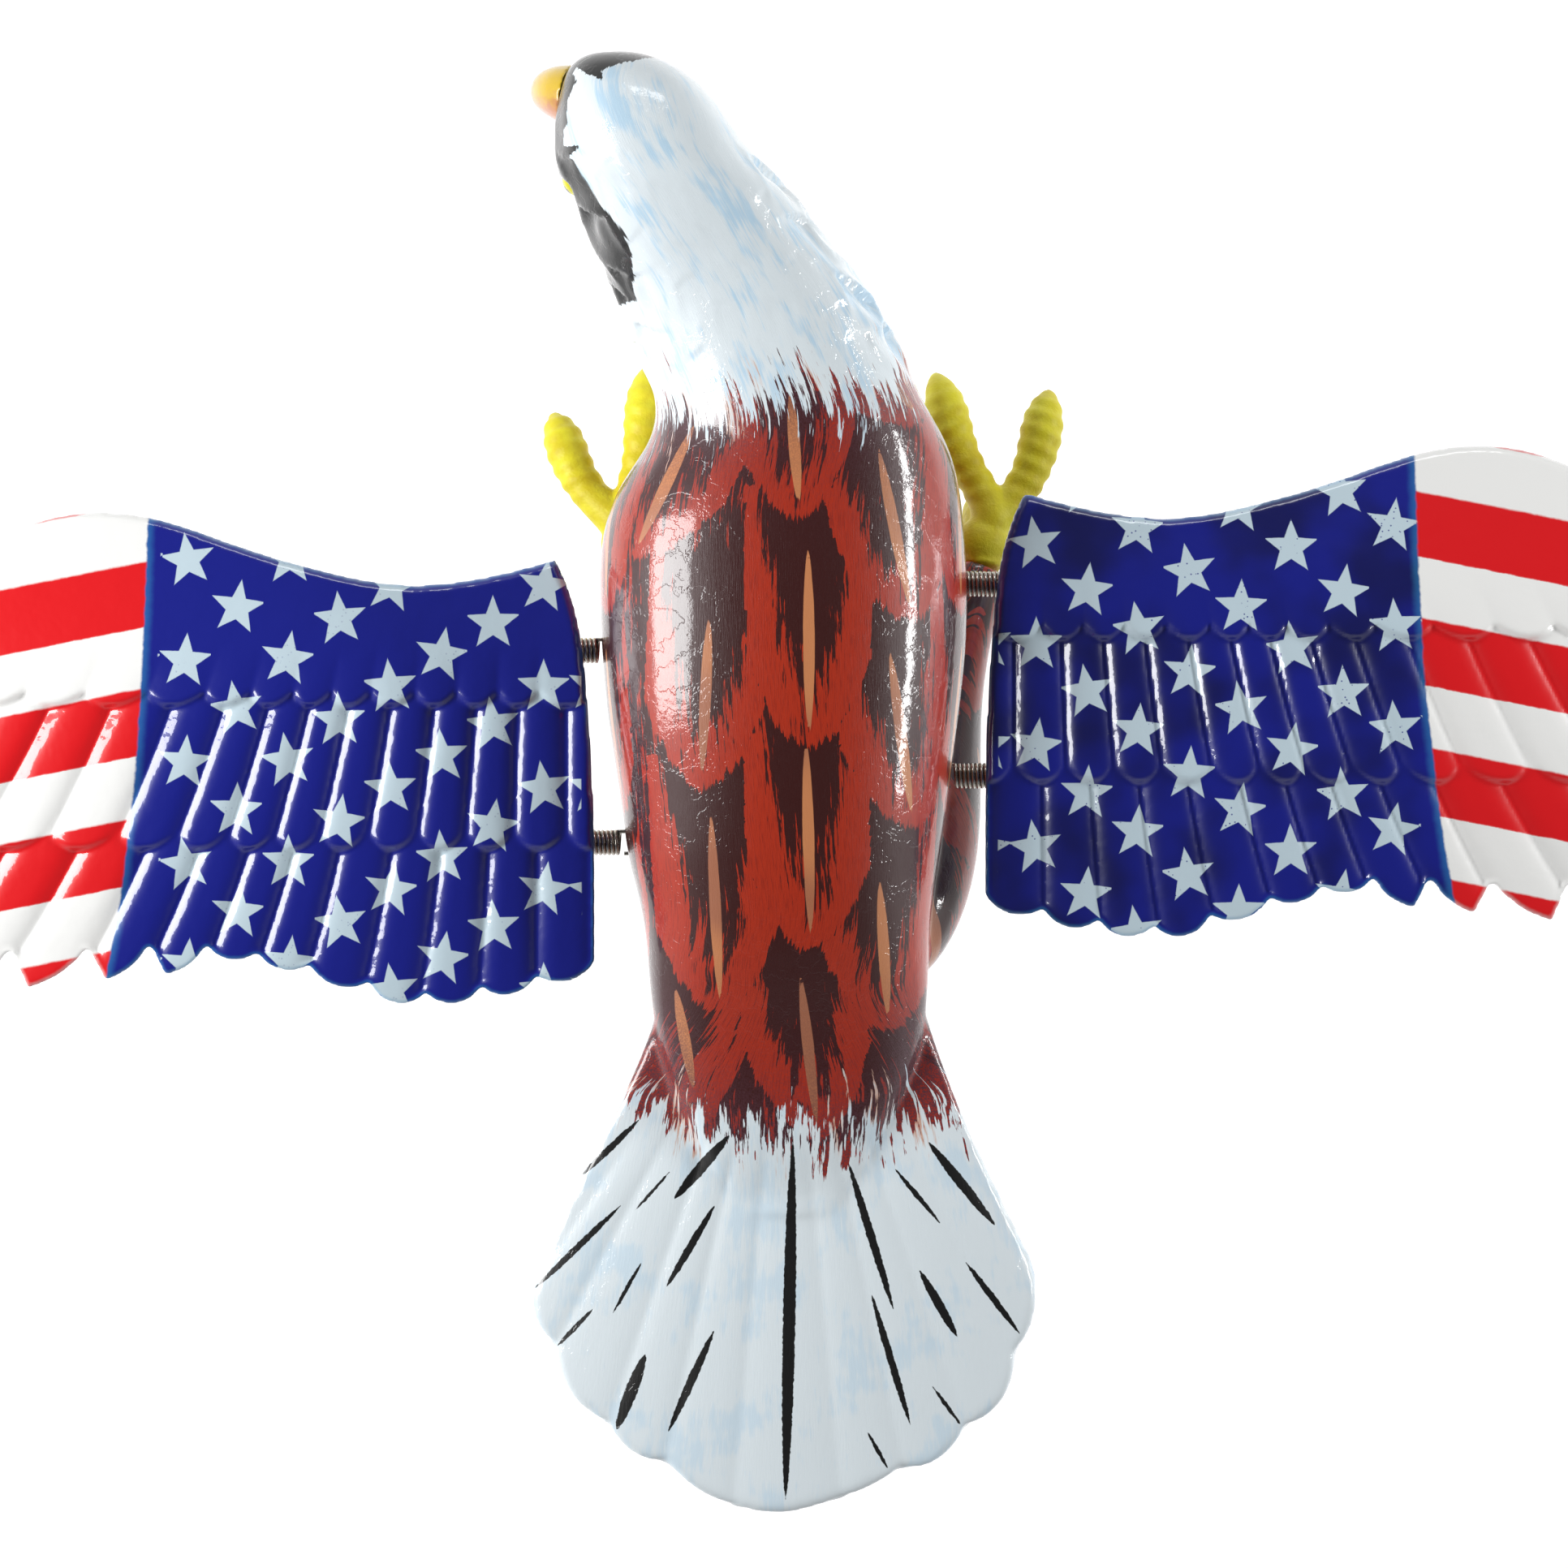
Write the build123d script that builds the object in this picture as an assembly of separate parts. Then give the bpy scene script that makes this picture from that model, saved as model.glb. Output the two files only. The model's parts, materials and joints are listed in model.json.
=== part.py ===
from build123d import *
import os
from math import cos, sin, pi, radians, degrees, atan2, copysign

# Motion wing decoy: a hollow painted eagle on a garden stake, its head turned to its left,
# with two moulded wings that each hang from a pair of coil springs and flap in the wind.
# Millimetres. +Z is up, +Y is forward to the head and +X is the bird's right.
# The origin is the mouth of the stake socket in the belly.

# ---- driving dimensions -------------------------------------------------------------------
wall = 2.2                    # thickness of the two body shells
part_z = 40.0                 # height of the shells' parting plane and of the spring axes
squareness = 2.3              # superellipse power of the body's sections

# body sections: y, centre x, half width, height of the widest level, rise above, drop below
body_stations = [
    (-116, 0.0, 11.0, 40.0, 2.2, 1.8),
    (-104, 0.0, 19.0, 40.3, 4.2, 4.2),
    (-88, 0.4, 26.5, 40.0, 9.0, 10.0),
    (-74, 0.6, 31.0, 39.5, 14.0, 16.0),
    (-58, 0.2, 32.6, 39.5, 21.0, 22.5),
    (-42, -0.4, 34.3, 40.0, 26.5, 29.0),
    (-24, -0.8, 37.4, 40.0, 31.0, 34.0),
    (-4, -1.0, 40.2, 40.0, 34.5, 37.0),
    (16, -0.9, 42.2, 40.0, 36.5, 36.5),
    (34, -1.0, 42.4, 40.5, 36.5, 33.0),
    (47, -0.4, 40.8, 41.5, 35.0, 29.0),
    (58, 1.6, 36.8, 43.0, 32.5, 25.5),
    (68, 1.6, 32.2, 45.0, 30.0, 23.5),
    (79, -2.4, 29.8, 48.0, 27.0, 22.0),
    (91, -7.6, 28.6, 52.0, 24.0, 20.5),
    (103, -14.6, 26.8, 56.0, 22.5, 20.0),
    (113, -20.8, 24.9, 59.0, 23.0, 20.0),
    (123, -27.6, 22.9, 60.5, 24.0, 20.5),
    (132, -31.8, 20.6, 61.0, 23.0, 20.0),
    (140, -34.4, 17.6, 61.5, 20.0, 18.0),
    (146, -36.8, 13.6, 61.5, 15.0, 14.0),
    (149.2, -38.4, 9.0, 61.5, 10.0, 9.5),
    (150.4, -39.0, 4.6, 61.5, 5.0, 5.0),
]

tail_thickness = 3.2
tail_root_y = -58.0
tail_arch = 5.0               # how far the tail's sides hang below its middle
tail_half_width = 58.0
# the tail's outline: side points, then scallops as (point on the arc, end of the arc)
tail_left_side = [(-28, tail_root_y), (-36, -84), (-47.6, -107), (-56.4, -126)]
tail_scallops = [
    ((-59.3, -137.5), (-54.2, -147.0)),
    ((-50.4, -157.5), (-41.6, -164.4)),
    ((-36.6, -170.2), (-28.3, -172.6)),
    ((-16.5, -180.8), (-0.9, -183.8)),
    ((12.5, -180.6), (26.6, -174.0)),
    ((36.6, -171.2), (41.4, -165.0)),
    ((49.8, -159.6), (53.2, -148.8)),
    ((57.9, -138.0), (55.4, -124.5)),
]
tail_right_side = [(46.6, -106.5), (36.4, -82), (29, tail_root_y)]

head_centre = Vector(-34.0, 131.0, 60.0)
head_yaw = 160.0              # direction the head faces, degrees from +X
beak_root = Vector(-46.0, 140.4, 60.0)
beak_pitch = 38.0             # how far the beak's root points below level
beak_width = 14.4
beak_depth = 15.5
beak_length = 27.0
beak_hook = 88.0              # further turn downwards from root to tip
eye_radius = 4.0
eye_forward = 9.9             # from the head's centre along the way it faces
eye_sideways = 12.7
eye_drop = 3.0

legs_middle_x = 4.4           # the legs hang a little to the bird's right
# leg sections from hip to ankle: offset from the legs' middle, y, z, radius
thigh_stations = [
    (18.0, -60, 30, 8.0),
    (24.0, -41, 25, 14.2),
    (27.0, -20, 21, 14.5),
    (31.0, 2, 18, 11.0),
    (36.5, 20, 15, 8.0),
    (42.0, 35, 12, 5.8),
]
palm_radius = 6.6
stem_radius = 4.6
toe_radii = [4.0, 4.6, 4.8, 4.7, 3.0, 0.8]     # from the palm to the claw's tip
claw_root = 4.6
claw_length = 3.0
# each foot's toes as routes from the palm to the claw's root: x, y, z
right_palm = (46.6, 41.0, 10.0)
right_toes = {
    "inner": [(47.4, 52.0, 8.5), (40.4, 65.5, 6.0), (37.6, 75.5, 2.0)],
    "outer": [(52.4, 50.0, 8.0), (59.4, 62.0, 5.0), (61.6, 71.5, 1.0)],
    "middle": [(46.8, 46.5, 2.0), (47.4, 49.5, -7.0), (47.4, 48.0, -14.0)],
    "hind": [(46.0, 35.5, 3.0), (45.0, 29.5, -3.0), (44.4, 25.5, -9.0)],
}
left_palm = (-37.8, 41.0, 10.0)
left_toes = {
    "inner": [(-37.0, 52.0, 8.5), (-34.4, 65.0, 6.0), (-33.6, 77.0, 2.0)],
    "outer": [(-43.4, 49.5, 8.0), (-51.0, 59.6, 5.0), (-53.8, 66.6, 1.0)],
    "middle": [(-38.0, 46.5, 2.0), (-38.4, 49.5, -7.0), (-38.4, 48.0, -14.0)],
    "hind": [(-37.2, 35.5, 3.0), (-36.4, 29.5, -3.0), (-36.0, 25.5, -9.0)],
}

stake_radius = 4.1            # bore for an 8 mm stake
socket_depth = 32.0
socket_outer_radius = 7.0
flange_radius = 12.0
flange_reach = 7.0            # the flange is cut back to the belly above it

wire = 0.9
spring_radius = 2.55          # to the middle of the wire
spring_pitch = 1.0
spring_turns = 15
hook_leg = 4.2                # straight run of each end hook
spring_span = 44.6            # from front spring to rear spring
pin_radius = 1.3
pin_length = 14.0
boss_radius = 3.6
slit_length = 9.4
slit_height = 1.8

# each side: sign of x, middle of its springs in y, where the front and rear coils begin in |x|
sides = {
    "left": {"sign": -1, "mid_y": -7.5, "front_x": 43.9, "rear_x": 38.9, "inset": 0.0},
    "right": {"sign": 1, "mid_y": 8.0, "front_x": 41.9, "rear_x": 38.9, "inset": 1.2},
}

wing_thickness = 1.8
# wing outline in |x| and y from the middle of its springs
wing_root_edge = [(53.8, 43.4), (49.0, 31.0), (46.0, 9.0), (44.8, -12.0), (44.6, -49.6)]
wing_leading_edge = [
    (53.8, 43.4), (70.0, 39.2), (89.0, 37.4), (107.5, 40.6), (126.5, 46.2), (145.0, 52.4),
    (161.0, 54.3), (177.0, 50.8), (194.0, 41.0), (213.0, 25.0), (232.0, 5.0), (247.0, -16.0),
    (254.0, -36.0),
]
# the inner feathers end in round scallops: lowest point, then the notch beyond it
round_feathers = [
    ((51.5, -54.6), (58.2, -53.0)),
    ((64.6, -57.6), (71.0, -55.6)),
    ((77.4, -59.6), (83.8, -57.0)),
    ((89.8, -59.6), (96.6, -54.4)),
    ((102.6, -55.8), (110.4, -50.4)),
    ((115.6, -51.8), (122.4, -47.6)),
    ((127.8, -49.4), (134.2, -45.6)),
]
# the outer feathers end in points: point, then the notch beyond it
pointed_feathers = [
    ((143.8, -52.8), (147.2, -45.2)),
    ((157.6, -54.0), (161.4, -46.2)),
    ((175.6, -55.8), (179.4, -46.6)),
    ((194.4, -57.4), (198.4, -46.0)),
    ((213.0, -57.0), (217.0, -43.0)),
    ((231.0, -54.0), (235.0, -38.0)),
]
# the wing's arched sections: |x|, height of the crest, camber
wing_stations = [(36, 47.6, 1.0), (80, 50.0, 1.05), (130, 52.6, 1.1), (190, 51.0, 0.9), (262, 43.0, 0.55)]
# one arched section at full camber: y from the springs' middle, drop below the crest
wing_camber = [(66, 11.0), (44, 6.0), (26, 2.0), (8, 0.0), (-16, 0.6), (-40, 3.0), (-66, 7.0)]

bracket_width = 9.0
bracket_offset = 2.0          # its middle lies this far outside the line of its screws
bracket_overhang = 7.0        # past each screw along the bar
screw_radius = 1.25
screw_length = 6.2
screw_head_radius = 2.7
screw_head_height = 1.9
washer_radius = 3.2
washer_thickness = 0.6
seat_gap = 0.02               # play between the hook's wire and what clamps it

os.makedirs("parts", exist_ok=True)


def save(name, *solids):
    shape = solids[0] if len(solids) == 1 else Compound(children=list(solids))
    export_step(shape, f"parts/{name}.step")


def section(y, x, half_width, z, rise, drop, inset=0.0):
    """One closed superellipse across the body, its upper and lower halves of unlike height."""
    points = []
    count = 16
    for i in range(count):
        angle = 2 * pi * i / count
        c, s = cos(angle), sin(angle)
        reach = copysign(abs(c) ** (2 / squareness), c)
        lift = copysign(abs(s) ** (2 / squareness), s)
        height = (rise if s > 0 else drop) - inset
        points.append((x + (half_width - inset) * reach, y, z + height * lift))
    return Face(Wire(Spline(*points, periodic=True)))


def below(height, reach=400.0):
    return Pos(0, 0, height - reach / 2) * Box(2 * reach, 2 * reach, reach)


def upright(radius, z_low, z_high, x=0.0, y=0.0):
    bottom = (Align.CENTER, Align.CENTER, Align.MIN)
    return Pos(x, y, z_low) * Cylinder(radius, z_high - z_low, align=bottom)


def ball(point, radius):
    return Pos(*point) * Rot(20, 30, 40) * Sphere(radius)


# ---- body: outer and inner lofts ----------------------------------------------------------
body_outer = loft([section(*s) for s in body_stations])
hollow_stations = [s for s in body_stations if s[4] > 11]
body_inner = loft([section(*s, inset=wall) for s in hollow_stations])


# ---- tail: a thin arched fan with a scalloped edge ----------------------------------------
def tail_slab():
    faces = []
    for y, middle, arch in [(tail_root_y + 4, 40.0, 0.5), (-125, 39.6, 1.0), (-190, 37.0, 1.1)]:
        top = []
        bottom = []
        for x in (-70, -35, 0, 35, 70):
            z = middle - arch * tail_arch * (x / tail_half_width) ** 2
            top.append((x, y, z + tail_thickness / 2))
            bottom.append((x, y, z - tail_thickness / 2))
        edges = [Spline(*top), Line(top[-1], bottom[-1]), Spline(*bottom), Line(top[0], bottom[0])]
        faces.append(Face(Wire(edges)))
    return loft(faces)


def tail_outline():
    edges = [Spline(*tail_left_side)]
    start = tail_left_side[-1]
    for via, end in tail_scallops:
        edges.append(ThreePointArc(start, via, end))
        start = end
    edges.append(Spline(start, *tail_right_side))
    edges.append(Line(tail_right_side[-1], tail_left_side[0]))
    return Face(Wire(edges))


tail = extrude(tail_outline(), 100) & tail_slab()


# ---- springs: a close-wound coil with a hook at each end ----------------------------------
coil_length = spring_pitch * spring_turns
hook_reach = hook_leg + spring_radius


def make_spring():
    """The spring along +Z from z = 0, with its hooks in the plane of X and Z."""
    coil_path = Helix(spring_pitch, coil_length, spring_radius)
    start = Plane(origin=coil_path @ 0, z_dir=coil_path % 0)
    spring = sweep(start * Circle(wire / 2), path=coil_path, is_frenet=True)
    for z, way in ((0.0, -1), (coil_length, 1)):
        far = z + way * hook_leg
        bend = z + way * hook_reach
        leg_out = Line((spring_radius, 0, z), (spring_radius, 0, far))
        loop = ThreePointArc((spring_radius, 0, far), (0, 0, bend), (-spring_radius, 0, far))
        leg_back = Line((-spring_radius, 0, far), (-spring_radius, 0, z + way * 1.0))
        path = Wire([leg_out, loop, leg_back])
        root = Plane(origin=(spring_radius, 0, z), z_dir=(0, 0, way))
        hook = sweep(root * Circle(wire / 2), path=path)
        spring = spring + hook + ball((spring_radius, 0, z), wire / 2)
    return spring


# ---- legs and feet ------------------------------------------------------------------------
def tapered(points, radii):
    """A smooth limb: circles along a route, each square to the way the route runs there."""
    faces = []
    for i, (centre, radius) in enumerate(zip(points, radii)):
        before = points[max(i - 1, 0)]
        after = points[min(i + 1, len(points) - 1)]
        plane = Plane(origin=centre, x_dir=(0.31, 0.17, 0.93), z_dir=after - before)
        faces.append(plane * Face(Wire(Edge.make_circle(radius))))
    return loft(faces)


def make_thigh(side):
    way = 1 if side == "right" else -1
    points = [Vector(legs_middle_x + way * s[0], s[1], s[2]) for s in thigh_stations]
    return tapered(points, [s[3] for s in thigh_stations]), points[-1]


def make_foot(palm, toes, ankle):
    """A palm on a short stem, with four toes that each swell and end in a claw."""
    foot = ball(palm, palm_radius)
    stem = Vector(*palm) - ankle
    foot += extrude(Plane(origin=ankle, z_dir=stem) * Circle(stem_radius), stem.length)
    for route in toes.values():
        points = [Vector(*palm)] + [Vector(*p) for p in route]
        way = (points[-1] - points[-2]).normalized()
        points.append(points[-1] + (way + Vector(0, 0, -0.5)) * claw_root)
        points.append(points[-1] + (way + Vector(0, 0, -1.2)) * claw_length)
        foot += tapered(points, toe_radii)
    return foot


# ---- beak and eyes ------------------------------------------------------------------------
facing = Vector(cos(radians(head_yaw)), sin(radians(head_yaw)), 0)
head_left = Vector(-sin(radians(head_yaw)), cos(radians(head_yaw)), 0)


def make_beak():
    """A hooked bill: ellipses that shrink along a path turning down from its root."""
    shrink = [1.0, 0.93, 0.8, 0.62, 0.4, 0.16]
    step = beak_length / (len(shrink) - 1)
    point = beak_root
    faces = []
    for i, size in enumerate(shrink):
        pitch = radians(beak_pitch + beak_hook * i / (len(shrink) - 1))
        way = facing * cos(pitch) + Vector(0, 0, -sin(pitch))
        plane = Plane(origin=point, x_dir=head_left, z_dir=way)
        outline = Edge.make_ellipse(beak_depth * size / 2, beak_width * size / 2)
        faces.append(plane * (Rot(0, 0, 90) * Face(Wire(outline))))
        point = point + way * step
    return loft(faces)


eyes = {}
for side, way in (("left", 1), ("right", -1)):
    spot = head_centre + facing * eye_forward + head_left * (way * eye_sideways)
    eyes[side] = ball((spot.X, spot.Y, spot.Z - eye_drop), eye_radius)


# ---- wings --------------------------------------------------------------------------------
def wing_slab(top, bottom):
    """The wing's arched sheet from `bottom` to `top`, both measured from its middle surface."""
    faces = []
    for x, crest, camber in wing_stations:
        upper = [(x, y, crest - camber * drop + top) for y, drop in wing_camber]
        lower = [(x, y, crest - camber * drop + bottom) for y, drop in wing_camber]
        ends = [Line(upper[0], lower[0]), Line(upper[-1], lower[-1])]
        faces.append(Face(Wire([Spline(*upper), Spline(*lower)] + ends)))
    return loft(faces)


def wing_outline():
    edges = [Spline(*wing_root_edge)]
    start = wing_root_edge[-1]
    for low, notch in round_feathers:
        edges.append(ThreePointArc(start, low, notch))
        start = notch
    for tip, notch in pointed_feathers:
        middle = ((start[0] + tip[0]) / 2 - 1.2, (start[1] + tip[1]) / 2 - 1.0)
        edges.append(ThreePointArc(start, middle, tip))
        edges.append(Line(tip, notch))
        start = notch
    edges.append(ThreePointArc(start, (247.0, -46.0), wing_leading_edge[-1]))
    edges.append(Spline(*wing_leading_edge))
    return Face(Wire(edges))


flat_wing = wing_outline()
wing_sheet = extrude(flat_wing, 100) & wing_slab(wing_thickness / 2, -wing_thickness / 2)
under_wing = wing_slab(-wing_thickness / 2, -20.0)


def to_side(shape, side):
    """Carry a shape drawn in |x| and y from the springs' middle to its own side."""
    s = sides[side]
    placed = Pos(s["inset"], s["mid_y"], 0) * shape
    return placed if s["sign"] > 0 else mirror(placed, about=Plane.YZ)


def spring_places(side):
    """The front and the rear spring of a side: name, |x| where the coil begins, y."""
    s = sides[side]
    return [
        ("front", s["front_x"], s["mid_y"] + spring_span / 2),
        ("rear", s["rear_x"], s["mid_y"] - spring_span / 2),
    ]


spring = make_spring()
pins = []
posts_above = []
posts_below = []
slits = []
for side, s in sides.items():
    sign = s["sign"]
    screws = []
    washers = []
    screw_spots = []
    for end, coil_x, y in spring_places(side):
        lay = Plane(origin=(sign * coil_x, y, part_z), x_dir=(0, 1, 0), z_dir=(sign, 0, 0))
        save(f"{side}_{end}_spring", lay * spring)
        pin_x = sign * (coil_x - hook_leg)
        pins.append(upright(pin_radius, part_z - pin_length / 2, part_z + pin_length / 2, pin_x, y))
        posts_above.append(upright(boss_radius, part_z + 0.7, part_z + 30, pin_x, y))
        posts_below.append(upright(boss_radius, part_z - 30, part_z - 0.7, pin_x, y))
        slits.append(Pos(pin_x + sign * 5, y, part_z) * Box(16, slit_length, slit_height))
        screw_x = sign * (coil_x + coil_length + hook_leg)
        screw_spots.append((screw_x, y))
        washer_top = part_z - wire / 2 - seat_gap
        washer_low = washer_top - washer_thickness
        ring = upright(washer_radius, washer_low, washer_top, screw_x, y)
        washers.append(ring - upright(screw_radius, washer_low - 1, washer_top + 1, screw_x, y))
        shank = upright(screw_radius, washer_low, washer_low + screw_length, screw_x, y)
        head = upright(screw_head_radius, washer_low - screw_head_height, washer_low, screw_x, y)
        screws.append(shank + fillet(head.edges().group_by(Axis.Z)[0], 1.1))
    save(f"{side}_wing_screws", *screws)
    save(f"{side}_wing_washers", *washers)

    # the bracket is a bar under the wing from screw to screw, its top bonded to the wing
    (front_x, front_y), (rear_x, rear_y) = screw_spots
    turn = degrees(atan2(front_y - rear_y, front_x - rear_x)) - 90
    bar_length = spring_span + 2 * bracket_overhang
    seat_z = part_z + wire / 2 + seat_gap
    bar = extrude(RectangleRounded(bracket_width, bar_length, 3), 20)
    bar_x = (front_x + rear_x) / 2 + sign * bracket_offset
    bar = Pos(bar_x, (front_y + rear_y) / 2, seat_z) * Rot(0, 0, turn) * bar
    bracket = bar & to_side(under_wing, side)
    for x, y in screw_spots:
        bracket -= upright(screw_radius, seat_z - 1, washer_low + screw_length, x, y)
    save(f"{side}_wing_bracket", bracket)
    save(f"{side}_wing", to_side(wing_sheet, side))

save("spring_pins", *pins)

# ---- stake socket -------------------------------------------------------------------------
tube = upright(socket_outer_radius, 0, socket_depth + 3)
flange = upright(flange_radius, 0, flange_reach) - body_outer
stake_socket = tube + flange - upright(stake_radius, -1, socket_depth)
save("stake_socket", stake_socket)

# ---- legs and feet in place ---------------------------------------------------------------
feet = {"left": (left_palm, left_toes), "right": (right_palm, right_toes)}
for side, (palm, toes) in feet.items():
    whole_thigh, ankle = make_thigh(side)
    foot = make_foot(palm, toes, ankle) - whole_thigh
    save(f"{side}_foot", foot)
    save(f"{side}_thigh", whole_thigh - body_outer)

# ---- head fittings ------------------------------------------------------------------------
beak = make_beak() - body_outer
save("beak", beak)
for side, eye in eyes.items():
    save(f"{side}_eye", eye)

# ---- the two shells -----------------------------------------------------------------------
def joined(shapes):
    total = shapes[0]
    for shape in shapes[1:]:
        total = total + shape
    return total


lower_half = below(part_z)
back_outer = body_outer - lower_half + tail
belly_outer = (body_outer & lower_half) - tail
back_shell = back_outer - body_inner + (joined(posts_above) & body_outer)
belly_shell = belly_outer - body_inner + (joined(posts_below) & body_outer)
back_shell = back_shell - joined(slits + pins) - joined(list(eyes.values()))
belly_shell = belly_shell - joined(slits + pins)
belly_shell = belly_shell - upright(socket_outer_radius, -5, socket_depth + 3)
# a loose sliver under the tail's root is trimmed off
belly_shell = max(belly_shell.solids(), key=lambda solid: solid.volume)
save("back_shell", back_shell)
save("belly_shell", belly_shell)
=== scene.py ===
import json
import math
import bmesh
import bpy
import numpy as np
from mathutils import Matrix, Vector
from mathutils.kdtree import KDTree


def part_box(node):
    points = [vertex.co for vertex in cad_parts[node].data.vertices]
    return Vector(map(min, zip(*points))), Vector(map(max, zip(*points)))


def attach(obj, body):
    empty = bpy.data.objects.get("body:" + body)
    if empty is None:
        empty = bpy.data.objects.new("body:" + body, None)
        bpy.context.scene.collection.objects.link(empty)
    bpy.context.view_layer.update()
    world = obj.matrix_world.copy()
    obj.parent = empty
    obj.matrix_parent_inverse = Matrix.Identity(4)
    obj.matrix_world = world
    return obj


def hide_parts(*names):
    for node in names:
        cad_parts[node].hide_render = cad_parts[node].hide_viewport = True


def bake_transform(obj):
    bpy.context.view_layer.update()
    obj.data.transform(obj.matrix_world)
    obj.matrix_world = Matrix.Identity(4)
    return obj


# The looks of the motion wing decoy. The frame gives every place; lengths here are in
# millimetres until they meet Blender, and MM turns them into metres.
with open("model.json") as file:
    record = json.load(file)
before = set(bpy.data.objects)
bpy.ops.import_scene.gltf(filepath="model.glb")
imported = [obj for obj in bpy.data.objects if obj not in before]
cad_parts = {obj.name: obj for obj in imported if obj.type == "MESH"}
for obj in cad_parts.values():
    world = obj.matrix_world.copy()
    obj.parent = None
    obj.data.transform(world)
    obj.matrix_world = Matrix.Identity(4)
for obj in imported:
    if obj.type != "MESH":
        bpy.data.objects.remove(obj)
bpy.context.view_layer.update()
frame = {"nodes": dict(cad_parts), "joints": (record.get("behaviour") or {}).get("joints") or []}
cad = frame["nodes"]
MM = 0.001

# ---- paint ---------------------------------------------------------------------------------


def tone(code):
    """A linear colour from a hex code."""
    parts = [int(code[i:i + 2], 16) / 255 for i in (1, 3, 5)]
    return tuple(p / 12.92 if p < 0.04045 else ((p + 0.055) / 1.055) ** 2.4 for p in parts) + (1.0,)


WHITE = tone("#e4eef3")
ICE = tone("#b4d9f2")
ORANGE = tone("#b42c08")
RUST = tone("#861a06")
MAROON = tone("#390603")
PEACH = tone("#cf8656")
SPRAY_AND_SHEEN = tone("#54303c")
INK = tone("#0a0a0b")
BLUE = tone("#121b86")
DEEP_BLUE = tone("#0c1158")
STAR = tone("#c3d6e0")
RED = tone("#e0151c")
MILK = tone("#f4f4f2")
GLOW_CYAN = tone("#3f9fd8")
YELLOW = tone("#ebe126")

# ---- places on the bird ---------------------------------------------------------------------
neck_border_y = 69.5          # where the white of the neck meets the brown back
tail_border_y = -97.0         # where the brown back meets the white of the tail
fan_start_y = -60.0           # behind this the brush strokes fan out with the tail
fan_length = 100.0
tail_root = (0.0, -45.0)      # the point that the tail's feathers spread from
head_centre = Vector((-34.0, 131.0, 60.0))
head_left = Vector((-0.342, -0.940, 0.0))
eye_spots = {s: [c / MM for c in (Vector(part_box(f"{s}_eye")[0]) + Vector(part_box(f"{s}_eye")[1])) / 2]
             for s in ("left", "right")}
wing_middle_y = {"left": -7.5, "right": 8.0}
wing_inset = {"left": 0.0, "right": 1.2}

# peach shafts on the back: start x, y and end x, y
back_shafts = [
    (-21.0, 65.5, -34.0, 38.0), (0.6, 73.0, 2.6, 47.0), (20.6, 60.0, 27.8, 24.0),
    (4.7, 37.0, 5.0, -5.0), (23.2, 14.0, 28.4, -23.0), (-17.6, 22.0, -19.4, -14.0),
    (-17.4, -23.0, -15.4, -66.0), (4.2, -6.0, 5.4, -51.0), (21.0, -38.0, 23.2, -70.0),
    (-25.8, -63.0, -21.6, -87.0), (3.0, -60.0, 6.8, -95.0), (-23.4, -71.7, -22.2, -92.0),
    (20.2, 79.0, 29.0, 69.0),
]
# black strokes on the tail: start x, y, end x, y, half width
tail_strokes = [
    (-34.5, -94.3, -47.9, -107.4, 0.8), (-27.4, -106.4, -35.3, -115.3, 0.4),
    (-13.4, -97.5, -26.2, -112.6, 1.3), (-38.7, -114.2, -59.0, -134.0, 0.8),
    (-16.8, -114.0, -28.1, -133.2, 0.9), (-34.0, -127.7, -40.6, -139.4, 0.5),
    (-45.3, -138.5, -53.8, -147.5, 0.6), (-33.0, -148.9, -39.8, -166.6, 1.5),
    (-17.0, -143.2, -27.7, -167.0, 1.0), (1.3, -99.0, -0.4, -182.8, 1.5),
    (14.3, -104.3, 24.7, -138.3, 1.0), (25.1, -105.7, 35.5, -118.3, 0.6),
    (32.8, -99.4, 48.3, -118.9, 1.2), (41.5, -127.5, 54.3, -144.5, 0.8),
    (30.8, -129.4, 39.6, -144.9, 1.1), (19.6, -134.9, 28.7, -165.5, 0.9),
    (33.8, -156.4, 40.4, -165.5, 0.5), (18.7, -167.0, 23.4, -175.5, 0.5),
]
# inner edge of the black brow band on the left of the head: y and x
band_edge_y = [94.3, 103.8, 108.1, 115.3, 121.5, 125.7, 127.2, 131.0, 134.0, 137.5, 141.9, 147.9]
band_edge_x = [-34.0, -35.1, -36.6, -42.3, -46.6, -48.9, -47.0, -49.8, -48.9, -47.2, -47.2, -50.2]


# ---- mesh work ------------------------------------------------------------------------------
def points_of(mesh):
    co = np.empty(len(mesh.vertices) * 3)
    mesh.vertices.foreach_get("co", co)
    return co.reshape(-1, 3) / MM


def put_points(mesh, co):
    mesh.vertices.foreach_set("co", (co * MM).ravel())
    mesh.update()


def normals_of(mesh):
    normal = np.empty(len(mesh.vertices) * 3)
    mesh.vertices.foreach_get("normal", normal)
    return normal.reshape(-1, 3)


def smooth(mesh, rounds, strength=0.5):
    """Each point moves towards the middle of its neighbours."""
    edges = np.empty(len(mesh.edges) * 2, int)
    mesh.edges.foreach_get("vertices", edges)
    a, b = edges.reshape(-1, 2).T
    co = points_of(mesh)
    count = len(co)
    degree = np.bincount(a, minlength=count) + np.bincount(b, minlength=count)
    for _ in range(rounds):
        mean = np.empty_like(co)
        for axis in range(3):
            mean[:, axis] = np.bincount(a, co[b, axis], count) + np.bincount(b, co[a, axis], count)
        co += strength * (mean / np.maximum(degree, 1)[:, None] - co)
    put_points(mesh, co)


def smoothstep(low, high, value):
    t = np.clip((value - low) / (high - low), 0, 1)
    return t * t * (3 - 2 * t)


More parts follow.
